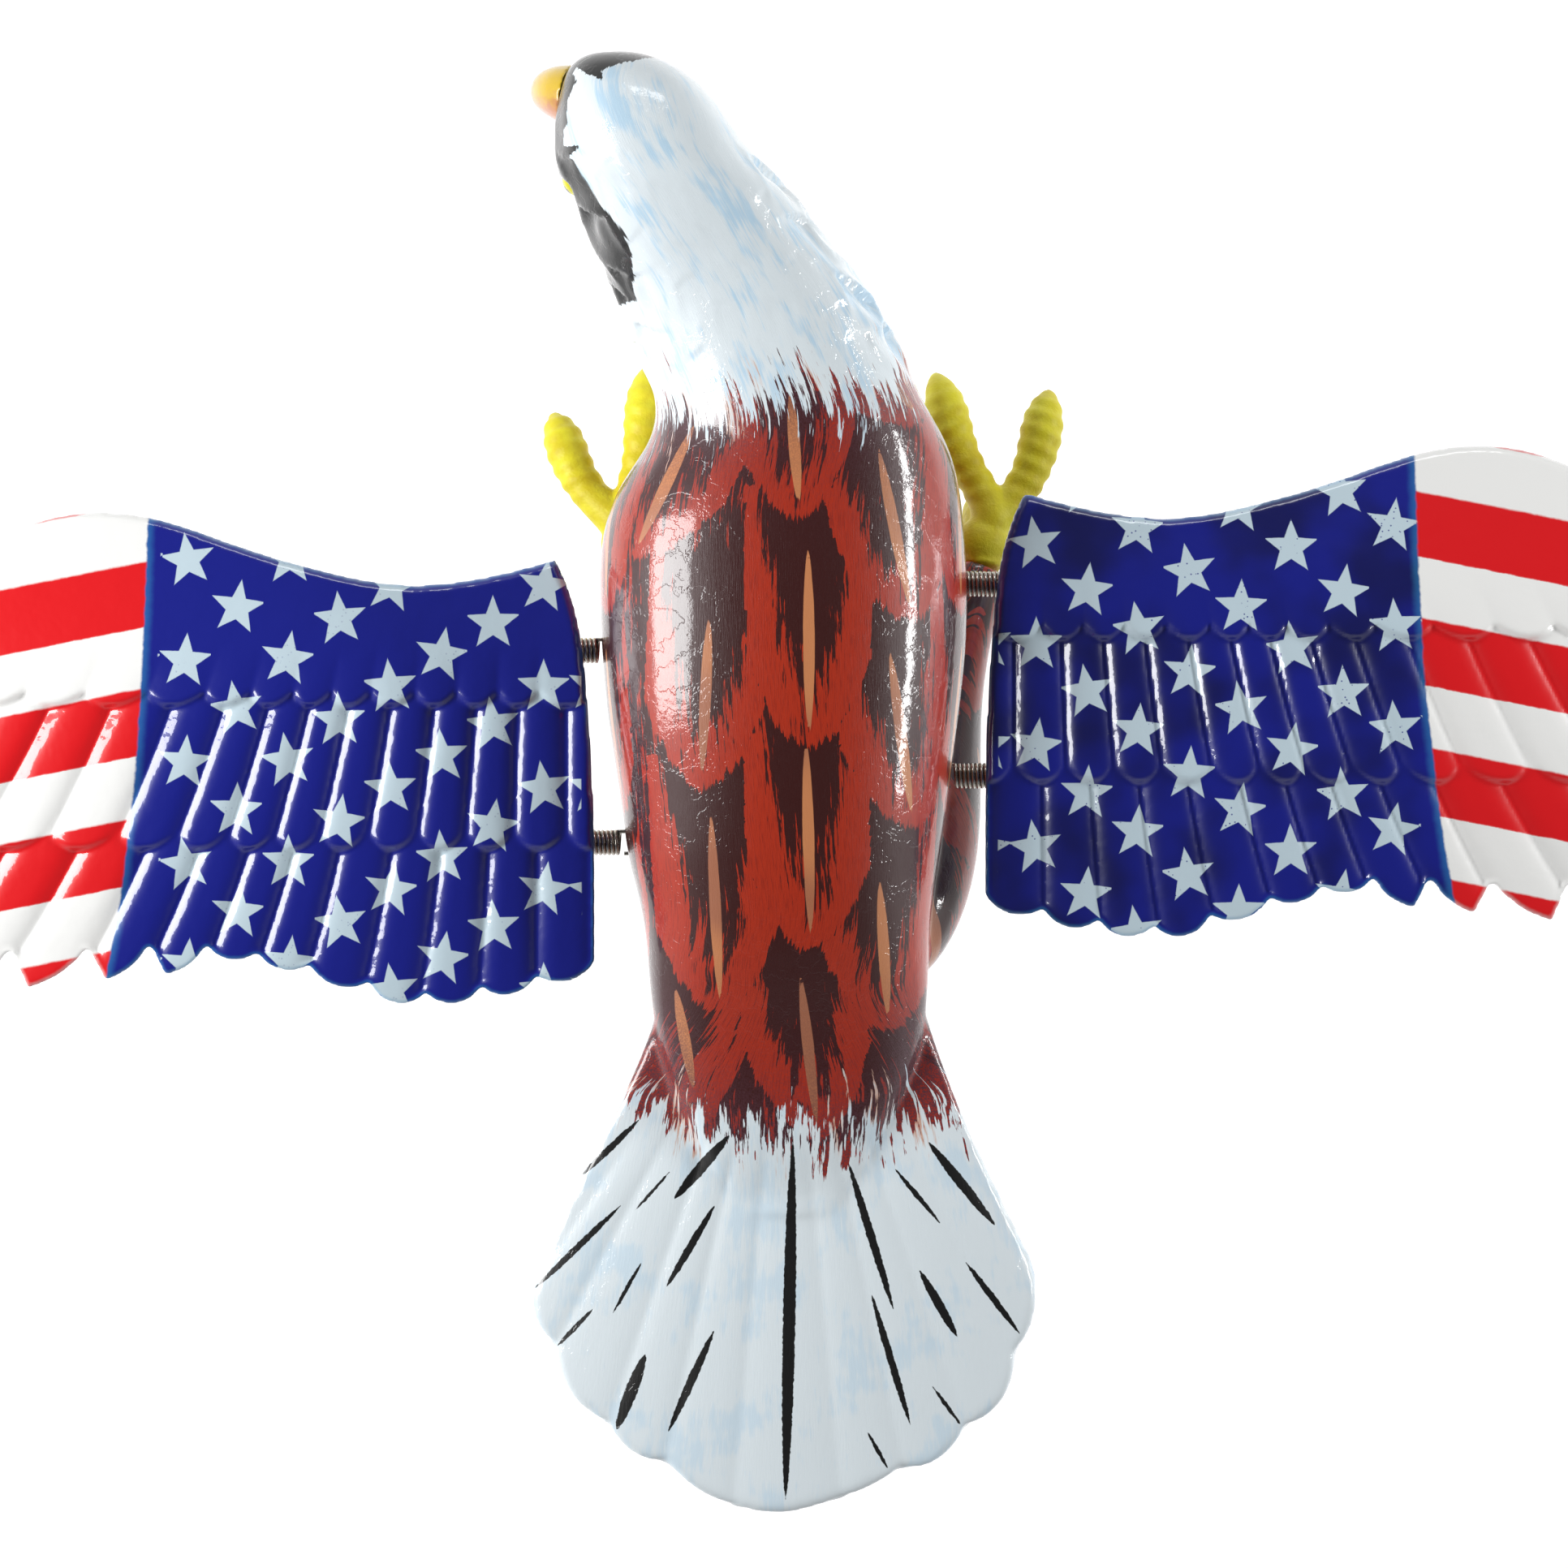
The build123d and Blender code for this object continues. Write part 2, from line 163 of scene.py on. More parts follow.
def attribute(mesh, name, values):
    layer = mesh.attributes.new(name, "FLOAT", "POINT")
    layer.data.foreach_set("value", values.astype(np.float32))


def joined(name, node_names, plugs=()):
    """A new object from copies of CAD nodes, with boxes that plug what should read as solid."""
    bm = bmesh.new()
    for node in node_names:
        bm.from_mesh(cad[node].data)
    for centre, size in plugs:
        made = bmesh.ops.create_cube(bm, size=1)
        bmesh.ops.scale(bm, vec=[s * MM for s in size], verts=made["verts"])
        bmesh.ops.translate(bm, vec=[c * MM for c in centre], verts=made["verts"])
    mesh = bpy.data.meshes.new(name)
    bm.to_mesh(mesh)
    bm.free()
    obj = bpy.data.objects.new(name, mesh)
    bpy.context.scene.collection.objects.link(obj)
    return obj


def remesh(obj, voxel, rounds):
    """An even mesh of the object's outer surface, smoothed."""
    modifier = obj.modifiers.new("even", "REMESH")
    modifier.mode = "VOXEL"
    modifier.voxel_size = voxel * MM
    depsgraph = bpy.context.evaluated_depsgraph_get()
    mesh = bpy.data.meshes.new_from_object(obj.evaluated_get(depsgraph))
    obj.modifiers.clear()
    obj.data = mesh
    smooth(mesh, rounds)
    mesh.polygons.foreach_set("use_smooth", np.ones(len(mesh.polygons), bool))
    mesh.materials.clear()
    return mesh


# ---- materials ------------------------------------------------------------------------------
class Paint:
    """A node material, built a node at a time. Values may be numbers, colours or sockets."""

    def __init__(self, name):
        self.material = bpy.data.materials.new(name)
        self.material.use_nodes = True
        self.tree = self.material.node_tree
        self.tree.nodes.clear()
        self.shader = self.node("ShaderNodeBsdfPrincipled")
        output = self.node("ShaderNodeOutputMaterial")
        self.tree.links.new(self.shader.outputs[0], output.inputs[0])

    def node(self, kind, **settings):
        node = self.tree.nodes.new(kind)
        for key, value in settings.items():
            setattr(node, key, value)
        return node

    def feed(self, socket, value):
        if isinstance(value, bpy.types.NodeSocket):
            self.tree.links.new(value, socket)
        elif value is not None:
            socket.default_value = value

    def math(self, operation, a, b=None, c=None, clamp=False):
        node = self.node("ShaderNodeMath", operation=operation, use_clamp=clamp)
        for socket, value in zip(node.inputs, (a, b, c)):
            self.feed(socket, value)
        return node.outputs[0]

    def vector(self, operation, a, b=None):
        node = self.node("ShaderNodeVectorMath", operation=operation)
        self.feed(node.inputs[0], a)
        self.feed(node.inputs[1], b)
        return node.outputs["Value"] if operation in ("DOT_PRODUCT", "LENGTH") else node.outputs[0]

    def field(self, name):
        return self.node("ShaderNodeAttribute", attribute_name=name).outputs["Fac"]

    def place(self):
        """The point's place in millimetres."""
        coordinates = self.node("ShaderNodeTexCoord").outputs["Object"]
        return self.vector("MULTIPLY", coordinates, (1000.0, 1000.0, 1000.0))

    def split(self, vector):
        return self.node_fed("ShaderNodeSeparateXYZ", vector).outputs

    def node_fed(self, kind, value):
        node = self.node(kind)
        self.feed(node.inputs[0], value)
        return node

    def combine(self, x, y, z=0.0):
        node = self.node("ShaderNodeCombineXYZ")
        for socket, value in zip(node.inputs, (x, y, z)):
            self.feed(socket, value)
        return node.outputs[0]

    def noise(self, vector, scale, detail=2.0, roughness=0.5):
        node = self.node("ShaderNodeTexNoise")
        self.feed(node.inputs["Vector"], vector)
        node.inputs["Scale"].default_value = scale
        node.inputs["Detail"].default_value = detail
        node.inputs["Roughness"].default_value = roughness
        return node.outputs["Fac"]

    def step(self, value, low, high):
        """0 below low, 1 above high."""
        node = self.node("ShaderNodeMapRange", interpolation_type="SMOOTHSTEP")
        self.feed(node.inputs["Value"], value)
        node.inputs["From Min"].default_value = low
        node.inputs["From Max"].default_value = high
        return node.outputs[0]

    def mix(self, amount, a, b):
        node = self.node("ShaderNodeMix", data_type="RGBA")
        self.feed(node.inputs[0], amount)
        self.feed(node.inputs[6], a)
        self.feed(node.inputs[7], b)
        return node.outputs[2]

    def bump(self, height, distance, strength=1.0):
        node = self.node("ShaderNodeBump")
        self.feed(node.inputs["Height"], height)
        node.inputs["Distance"].default_value = distance * MM
        node.inputs["Strength"].default_value = strength
        return node.outputs["Normal"]

    def finish(self, colour, roughness=0.4, coat=0.0, coat_roughness=0.03, metallic=0.0,
               normal=None, coat_normal=None):
        inputs = self.shader.inputs
        self.feed(inputs["Base Color"], colour)
        self.feed(inputs["Roughness"], roughness)
        inputs["Coat Weight"].default_value = coat
        inputs["Coat Roughness"].default_value = coat_roughness
        inputs["Metallic"].default_value = metallic
        self.feed(inputs["Normal"], normal)
        self.feed(inputs["Coat Normal"], coat_normal)
        return self.material


def stroke_field(p, flat, strokes):
    """How far inside the nearest painted stroke a point is, each stroke a lens with fine tips."""
    best = None
    for x0, y0, x1, y1, half_width in strokes:
        run = Vector((x1 - x0, y1 - y0, 0))
        offset = p.vector("SUBTRACT", flat, (x0, y0, 0.0))
        along = p.vector("DOT_PRODUCT", offset, tuple(run / run.length_squared))
        along = p.math("ADD", along, 0.0, clamp=True)
        foot = p.node("ShaderNodeVectorMath", operation="SCALE")
        foot.inputs[0].default_value = run
        p.feed(foot.inputs["Scale"], along)
        apart = p.vector("LENGTH", p.vector("SUBTRACT", offset, foot.outputs[0]))
        swell = p.math("MULTIPLY", along, p.math("SUBTRACT", 1.0, along))
        width = p.math("MULTIPLY", p.math("POWER", p.math("MULTIPLY", swell, 4.0), 0.6), half_width)
        inside = p.math("SUBTRACT", width, apart)
        best = inside if best is None else p.math("MAXIMUM", best, inside)
    return best


def gloss_bump(p, place):
    """The slow waves, fine orange peel and shrink creases of a thick brushed-on clear coat."""
    peel = p.noise(place, 0.9, 3.0, 0.65)
    ripple = p.noise(place, 0.10, 2.0)
    crease = p.math("ABSOLUTE", p.math("SUBTRACT", p.noise(place, 0.11, 4.0, 0.6), 0.5))
    crease = p.math("MULTIPLY", p.step(crease, 0.0, 0.02), 0.25)
    height = p.math("MULTIPLY_ADD", peel, 0.22, p.math("MULTIPLY", ripple, 1.2))
    return p.bump(p.math("ADD", height, crease), 0.42, 0.36)


def painted_feathers():
    """Body paint: brushed brown feathers, white head and tail, black strokes, clear gloss."""
    p = Paint("painted_feathers")
    place = p.place()
    flow = p.combine(p.field("across"), p.field("along"))
    coarse = p.noise(p.vector("MULTIPLY", flow, (0.42, 0.045, 1.0)), 1.0, 2.0, 0.5)
    hair = p.noise(p.vector("MULTIPLY", flow, (1.25, 0.09, 1.0)), 1.0, 2.0, 0.6)
    fine = p.noise(p.vector("MULTIPLY", flow, (4.2, 0.22, 1.0)), 1.0, 3.0, 0.6)
    hairs = p.math("MULTIPLY_ADD", coarse, 0.32, p.math("MULTIPLY", hair, 0.45))
    hairs = p.math("SUBTRACT", p.math("MULTIPLY_ADD", fine, 0.23, hairs), 0.5)
    # brown back
    streaked = p.mix(p.math("MULTIPLY", p.step(fine, 0.45, 0.7), 0.7), ORANGE, RUST)
    maroon = p.math("MULTIPLY_ADD", hairs, 130.0, p.field("dark"))
    colour = p.mix(p.step(maroon, -0.6, 0.6), streaked, MAROON)
    shaft = p.math("MULTIPLY_ADD", hairs, 0.5, p.field("shaft"))
    mauve = p.step(p.noise(place, 0.03, 1.0), 0.45, 0.65)
    peach = p.mix(p.math("MULTIPLY", mauve, 0.6), PEACH, tone("#8c5448"))
    colour = p.mix(p.step(shaft, -0.05, 0.12), colour, peach)
    # purple grey over the brown: airbrushed spray paint near the white borders, and on the flanks by the
    # waist a painted sheen, a reflection painted into the colour
    spray_and_sheen_share = p.math("MULTIPLY", p.field("spray_and_sheen"), p.step(p.noise(place, 2.4, 3.0, 0.7), 0.3, 0.62))
    colour = p.mix(spray_and_sheen_share, colour, SPRAY_AND_SHEEN)
    # white head and tail, with peach where the two paints were dragged together
    cloud = p.noise(p.vector("MULTIPLY", flow, (0.09, 0.05, 1.0)), 1.0, 3.0, 0.6)
    tint = p.step(p.math("MULTIPLY_ADD", hairs, 0.9, cloud), 0.5, 0.66)
    snow = p.mix(p.math("MULTIPLY", tint, p.field("blueness")), WHITE, ICE)
    ragged = p.math("MULTIPLY_ADD", hairs, 95.0, p.field("white"))
    blush = p.step(p.noise(p.vector("MULTIPLY", flow, (0.16, 0.03, 1.0)), 1.0, 1.0), 0.55, 0.62)
    near = p.math("SUBTRACT", 1.0, p.step(ragged, 0.0, 7.0))
    snow = p.mix(p.math("MULTIPLY", p.math("MULTIPLY", blush, near), 0.75), snow, PEACH)
    colour = p.mix(p.step(ragged, -0.5, 0.6), colour, snow)
    # black strokes on the tail and the black brow
    x, y, _ = p.split(place)
    wobble = p.math("MULTIPLY", p.math("SUBTRACT", p.noise(place, 0.9, 2.0), 0.5), 0.6)
    strokes = stroke_field(p, p.combine(x, y), tail_strokes)
    strokes = p.math("ADD", strokes, wobble)
    strokes = p.math("MULTIPLY", p.step(strokes, -0.05, 0.12), p.step(y, -90.0, -92.0))
    band = p.math("ADD", p.field("ink"), p.math("MULTIPLY", hairs, 4.0))
    black = p.math("MAXIMUM", p.step(band, -0.1, 0.2), strokes)
    colour = p.mix(black, colour, INK)
    base_normal = p.bump(fine, 0.12, 0.5)
    return p.finish(colour, 0.42, 1.0, 0.025, normal=base_normal, coat_normal=gloss_bump(p, place))


def star_field(p, x, y, turn, radius):
    """How far inside a five-pointed star at the origin a point is."""
    angle = p.math("ADD", p.math("ARCTAN2", y, x), turn)
    fold = 2 * math.pi / 5
    sector = p.math("PINGPONG", p.math("ADD", angle, 20 * math.pi), fold / 2)
    reach = p.vector("LENGTH", p.combine(x, y))
    along = p.math("MULTIPLY", reach, p.math("COSINE", sector))
    across = p.math("MULTIPLY", reach, p.math("SINE", sector))
    # the edge runs from the point at (radius, 0) to the inner corner of the sector
    inner = radius * 0.42
    corner = (inner * math.cos(fold / 2), inner * math.sin(fold / 2))
    edge = (corner[0] - radius, corner[1])
    size = math.hypot(*edge)
    normal = (edge[1] / size, -edge[0] / size)
    distance = p.math("ADD", p.math("MULTIPLY", p.math("SUBTRACT", along, radius), normal[0]),
                      p.math("MULTIPLY", across, normal[1]))
    return p.math("MULTIPLY", distance, -1.0)


star_pitch_x = 11.75
star_pitch_y = 23.4
star_first_x = 56.2
star_radius = 6.5
# how far up each column of stars is shifted, from the root outwards
star_shifts = {
    "left": [13.7, 5.0, 21.1, 13.7, 6.0, 20.1, 8.6, 19.6],
    "right": [8.0, 20.5, 11.5, 1.5, 16.5, 7.0, 20.0, 12.0],
}
blue_edge_x = {"left": 148.0, "right": 144.0}
stripe_slope = 0.2
stripe_period = 29.4
red_share = 15.4 / 29.4
red_low = -1.9


def wing_print(side):
    """Stars on blue and sloping red stripes, printed under clear gloss."""
    p = Paint(f"{side}_wing_print")
    place = p.place()
    x, y, _ = p.split(place)
    sign = -1.0 if side == "left" else 1.0
    s = p.math("SUBTRACT", p.math("MULTIPLY", x, sign), wing_inset[side])
    t = p.math("SUBTRACT", y, wing_middle_y[side])
    bleed = p.math("MULTIPLY", p.math("SUBTRACT", p.noise(place, 0.35, 3.0, 0.6), 0.5), 0.9)
    # stripes
    level = p.math("ADD", t, p.math("MULTIPLY", p.math("SUBTRACT", s, 147.0), stripe_slope))
    level = p.math("ADD", p.math("SUBTRACT", level, red_low), p.math("MULTIPLY", bleed, 0.6))
    phase = p.math("FRACT", p.math("ADD", p.math("DIVIDE", level, stripe_period), 10.0))
    edge = p.math("SUBTRACT", red_share / 2, p.math("ABSOLUTE", p.math("SUBTRACT", phase, red_share / 2)))
    colour = p.mix(p.step(edge, -0.012, 0.012), MILK, RED)
    # blue field
    hang = p.math("MAXIMUM", p.math("SUBTRACT", 35.0, t), 0.0)
    bound = p.math("MULTIPLY_ADD", p.math("MULTIPLY", hang, hang), 0.0012, blue_edge_x[side])
    inside = p.math("SUBTRACT", p.math("SUBTRACT", bound, s), bleed)
    ink = p.mix(p.step(p.noise(place, 0.05, 2.0), 0.35, 0.7), BLUE, DEEP_BLUE if side == "right" else BLUE)
    # a painted glow: a paler cyan along the inner edge of the blue field
    ink = p.mix(p.math("MULTIPLY", p.math("SUBTRACT", 1.0, p.step(inside, 0.2, 2.4)), 0.3), ink, GLOW_CYAN)
    # stars
    column = p.math("DIVIDE", p.math("SUBTRACT", s, star_first_x), star_pitch_x)
    index = p.math("ROUND", column)
    ramp = p.node("ShaderNodeValToRGB")
    ramp.color_ramp.interpolation = "CONSTANT"
    shifts = star_shifts[side]
    while len(ramp.color_ramp.elements) < len(shifts):
        ramp.color_ramp.elements.new(0.5)
    for i, shift in enumerate(shifts):
        ramp.color_ramp.elements[i].position = i / len(shifts)
        ramp.color_ramp.elements[i].color = (shift / star_pitch_y,) * 3 + (1.0,)
    p.feed(ramp.inputs[0], p.math("DIVIDE", p.math("ADD", index, 0.5), float(len(shifts))))
    row = p.math("SUBTRACT", p.math("DIVIDE", t, star_pitch_y), ramp.outputs[0])
    off_x = p.math("MULTIPLY", p.math("SUBTRACT", column, index), star_pitch_x)
    row_index = p.math("ROUND", row)
    off_y = p.math("MULTIPLY", p.math("SUBTRACT", row, row_index), star_pitch_y)
    turn = p.math("SINE", p.math("ADD", p.math("MULTIPLY", index, 2.3), p.math("MULTIPLY", row_index, 4.1)))
    turn = p.math("ADD", p.math("MULTIPLY", turn, 0.16), -math.pi / 2)
    star = star_field(p, off_x, off_y, turn, star_radius)
    star = p.math("ADD", star, p.math("MULTIPLY", bleed, 0.25))
    on_field = p.math("MULTIPLY", p.step(column, -0.75, -0.72), p.step(column, 7.55, 7.52))
    speck = p.node("ShaderNodeTexVoronoi")
    p.feed(speck.inputs["Vector"], place)
    speck.inputs["Scale"].default_value = 0.85
    dots = p.step(speck.outputs["Distance"], 0.2, 0.14)
    dots = p.math("MULTIPLY", dots, p.step(p.noise(place, 0.1, 1.0), 0.5, 0.56))
    pale = p.mix(p.math("MULTIPLY", dots, 0.8 if side == "right" else 0.25), STAR, BLUE)
    ink = p.mix(p.math("MULTIPLY", p.step(star, -0.12, 0.12), on_field), ink, pale)
    colour = p.mix(p.step(inside, -0.35, 0.35), colour, ink)
    # the thin moulded rim lets light through and looks paler
    rim = p.math("MULTIPLY", p.step(p.field("rim"), 1.1, 0.1), 0.3)
    colour = p.mix(rim, colour, p.mix(p.step(inside, -0.3, 0.3), MILK, GLOW_CYAN))
    ripple = p.math("ADD", p.noise(place, 0.16, 2.0), p.math("MULTIPLY", p.noise(place, 0.7, 2.0), 0.12))
    return p.finish(colour, 0.3, 1.0, 0.02, normal=p.bump(ripple, 0.5, 0.3),
                    coat_normal=p.bump(ripple, 0.9, 0.4))


def soft_yellow():
    p = Paint("soft_yellow")
    place = p.place()
    mottle = p.noise(place, 0.12, 3.0, 0.6)
    colour = p.mix(p.step(mottle, 0.35, 0.7), YELLOW, tone("#d8c40e"))
    scuff = p.step(p.noise(place, 0.4, 4.0, 0.7), 0.66, 0.78)
    colour = p.mix(p.math("MULTIPLY", scuff, 0.45), colour, tone("#8a6a10"))
    grain = p.math("ADD", p.noise(place, 1.4, 3.0, 0.6), p.math("MULTIPLY", mottle, 2.0))
    return p.finish(colour, p.math("ADD", p.math("MULTIPLY", mottle, 0.2), 0.42),
                    normal=p.bump(grain, 0.25, 0.6))


def beak_paint():
    """Yellow at the root's top, brown along the ridge and pink red towards the gape."""
    p = Paint("beak_paint")
    place = p.place()
    low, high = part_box("beak")
    _, y, z = p.split(place)
    drop = p.math("DIVIDE", p.math("SUBTRACT", high[2] / MM, z), (high[2] - low[2]) / MM)
    side = p.math("DIVIDE", p.math("SUBTRACT", y, low[1] / MM), (high[1] - low[1]) / MM)
    brush = p.math("MULTIPLY", p.math("SUBTRACT", p.noise(place, 0.5, 3.0, 0.6), 0.5), 0.5)
    tan = p.mix(p.step(p.math("ADD", drop, brush), 0.15, 0.6), tone("#d9b52a"), tone("#b9844a"))
    pink = p.step(p.math("ADD", side, brush), 0.55, 0.15)
    colour = p.mix(p.math("MULTIPLY", pink, 0.75), tan, tone("#b8605a"))
    colour = p.mix(p.step(p.math("ADD", drop, brush), 0.75, 0.95), colour, tone("#5a4430"))
    return p.finish(colour, 0.35, 1.0, 0.03, coat_normal=gloss_bump(p, place))


def eye_gloss(side):
    """A yellow iris around a black pupil that looks out from the head."""
    p = Paint(f"{side}_eye_gloss")
    place = p.place()
    spot = Vector(eye_spots[side])
    way = head_left * (1 if side == "left" else -1) + Vector((-0.5, 0.18, -0.1))
    way.normalize()
    offset = p.vector("SUBTRACT", place, tuple(spot))
    out = p.vector("DOT_PRODUCT", offset, tuple(way / 4.0))
    veins = p.math("MULTIPLY", p.noise(place, 1.6, 2.0), 0.08)
    out = p.math("ADD", out, veins)
    colour = p.mix(p.step(out, 0.93, 0.96), tone("#d8d21a"), INK)
    colour = p.mix(p.step(out, 0.62, 0.56), colour, INK)
    return p.finish(colour, 0.2, 1.0, 0.01)


def metal(name, colour, roughness, scale):
    p = Paint(name)
    place = p.place()
    wear = p.noise(place, scale, 3.0, 0.6)
    tint = p.mix(wear, colour, tuple(c * 0.72 for c in colour[:3]) + (1.0,))
    rough = p.math("ADD", p.math("MULTIPLY", wear, 0.18), roughness)
    return p.finish(tint, rough, metallic=1.0, normal=p.bump(wear, 0.05, 0.4))


def moulded(name, colour, roughness):
    p = Paint(name)
    place = p.place()
    grain = p.noise(place, 1.8, 4.0, 0.65)
    slow = p.noise(place, 0.15, 2.0)
    shade = p.mix(slow, colour, tuple(c * 0.8 for c in colour[:3]) + (1.0,))
    return p.finish(shade, p.math("ADD", p.math("MULTIPLY", slow, 0.15), roughness),
                    normal=p.bump(grain, 0.06, 0.6))


def dress(obj, material):
    obj.data.materials.clear()
    obj.data.materials.append(material)


# ---- the body's skin ------------------------------------------------------------------------
skin_voxel = 0.8
lattice_across = 21.0         # spacing of the shafts around the body
lattice_along = 46.0
shaft_length = 36.0
first_side_column = 52.0     # distance round the body from the ridge to the first flank shafts


def centre_of_sections(co):
    """The middle of the body's section at each y, and its mean radius, as functions of y."""
    stations = np.arange(fan_start_y, 144.0, 2.0)
    rows = []
    for y in stations:
        near = co[np.abs(co[:, 1] - y) < 1.6]
        near = near[near[:, 0] < 43.0] if y < 40 else near
        low, high = near.min(axis=0), near.max(axis=0)
        rows.append([(low[0] + high[0]) / 2, (low[2] + high[2]) / 2,
                     (high[0] - low[0] + high[2] - low[2]) / 4])
    rows = np.array(rows)
    kernel = np.ones(5) / 5
    padded = np.pad(rows, ((2, 2), (0, 0)), mode="edge")
    rows = np.stack([np.convolve(padded[:, i], kernel, "valid") for i in range(3)], axis=1)
    return lambda y: [np.interp(y, stations, rows[:, i]) for i in range(3)]


def lens(u, v, x0, y0, x1, y1, half_width):
    """How far inside a lens-shaped brush mark each point is."""
    run = np.array([x1 - x0, y1 - y0])
    size = np.hypot(*run)
    along = ((u - x0) * run[0] + (v - y0) * run[1]) / size ** 2
    across = np.abs((u - x0) * run[1] - (v - y0) * run[0]) / size
    end = np.clip(np.abs(along - 0.5) - 0.5, 0, None) * size
    swell = np.clip(4 * along * (1 - along), 0, 1) ** 0.7
    return half_width * swell - across - end


def scales(u, v, marks):
    """Overlapping painted feathers, each round a shaft. Two fields in millimetres: how far a
    point lies inside the maroon at a feather's root, and how far inside its peach shaft."""
    dark = np.full(len(u), 8.0)
    shaft = np.full(len(u), -9.0)
    for x0, y0, x1, y1, half_width in sorted(marks, key=lambda mark: mark[1]):
        run = np.array([x1 - x0, y1 - y0])
        size = np.hypot(*run)
        along = ((u - x0) * run[0] + (v - y0) * run[1]) / size
        across = np.abs((u - x0) * run[1] - (v - y0) * run[0]) / size
        edge = size + 3 - 17 * (across / 13) ** 2 - along
        beside = (along > -14) & (across < 14)
        covered = beside & (edge > 0)
        root_depth = 0.80 * size * (1 - (across / 9.5) ** 2)
        inner = np.maximum(root_depth - along, -8 * edge)
        outer = np.where(beside, np.minimum(dark, -8 * edge), dark)
        dark = np.where(covered, inner, outer)
        shaft = np.where(covered, lens(u, v, x0, y0, x1, y1, half_width), shaft)
    return dark, shaft


def head_band(x, y, z):
    """The black brow of the left side, which runs back past the eye to the neck."""
    edge = np.interp(y, band_edge_y, band_edge_x)
    floor = np.interp(y, [94, 105, 116, 124, 134, 146], [53, 55, 58, 61.5, 63.5, 67])
    ends = np.minimum(y - 94, 149 - y)
    thickness = floor + 9 - z
    band = np.minimum(np.minimum(edge - x, z - floor), ends)
    return np.minimum(band, np.where(y > 128, thickness, 9.0))


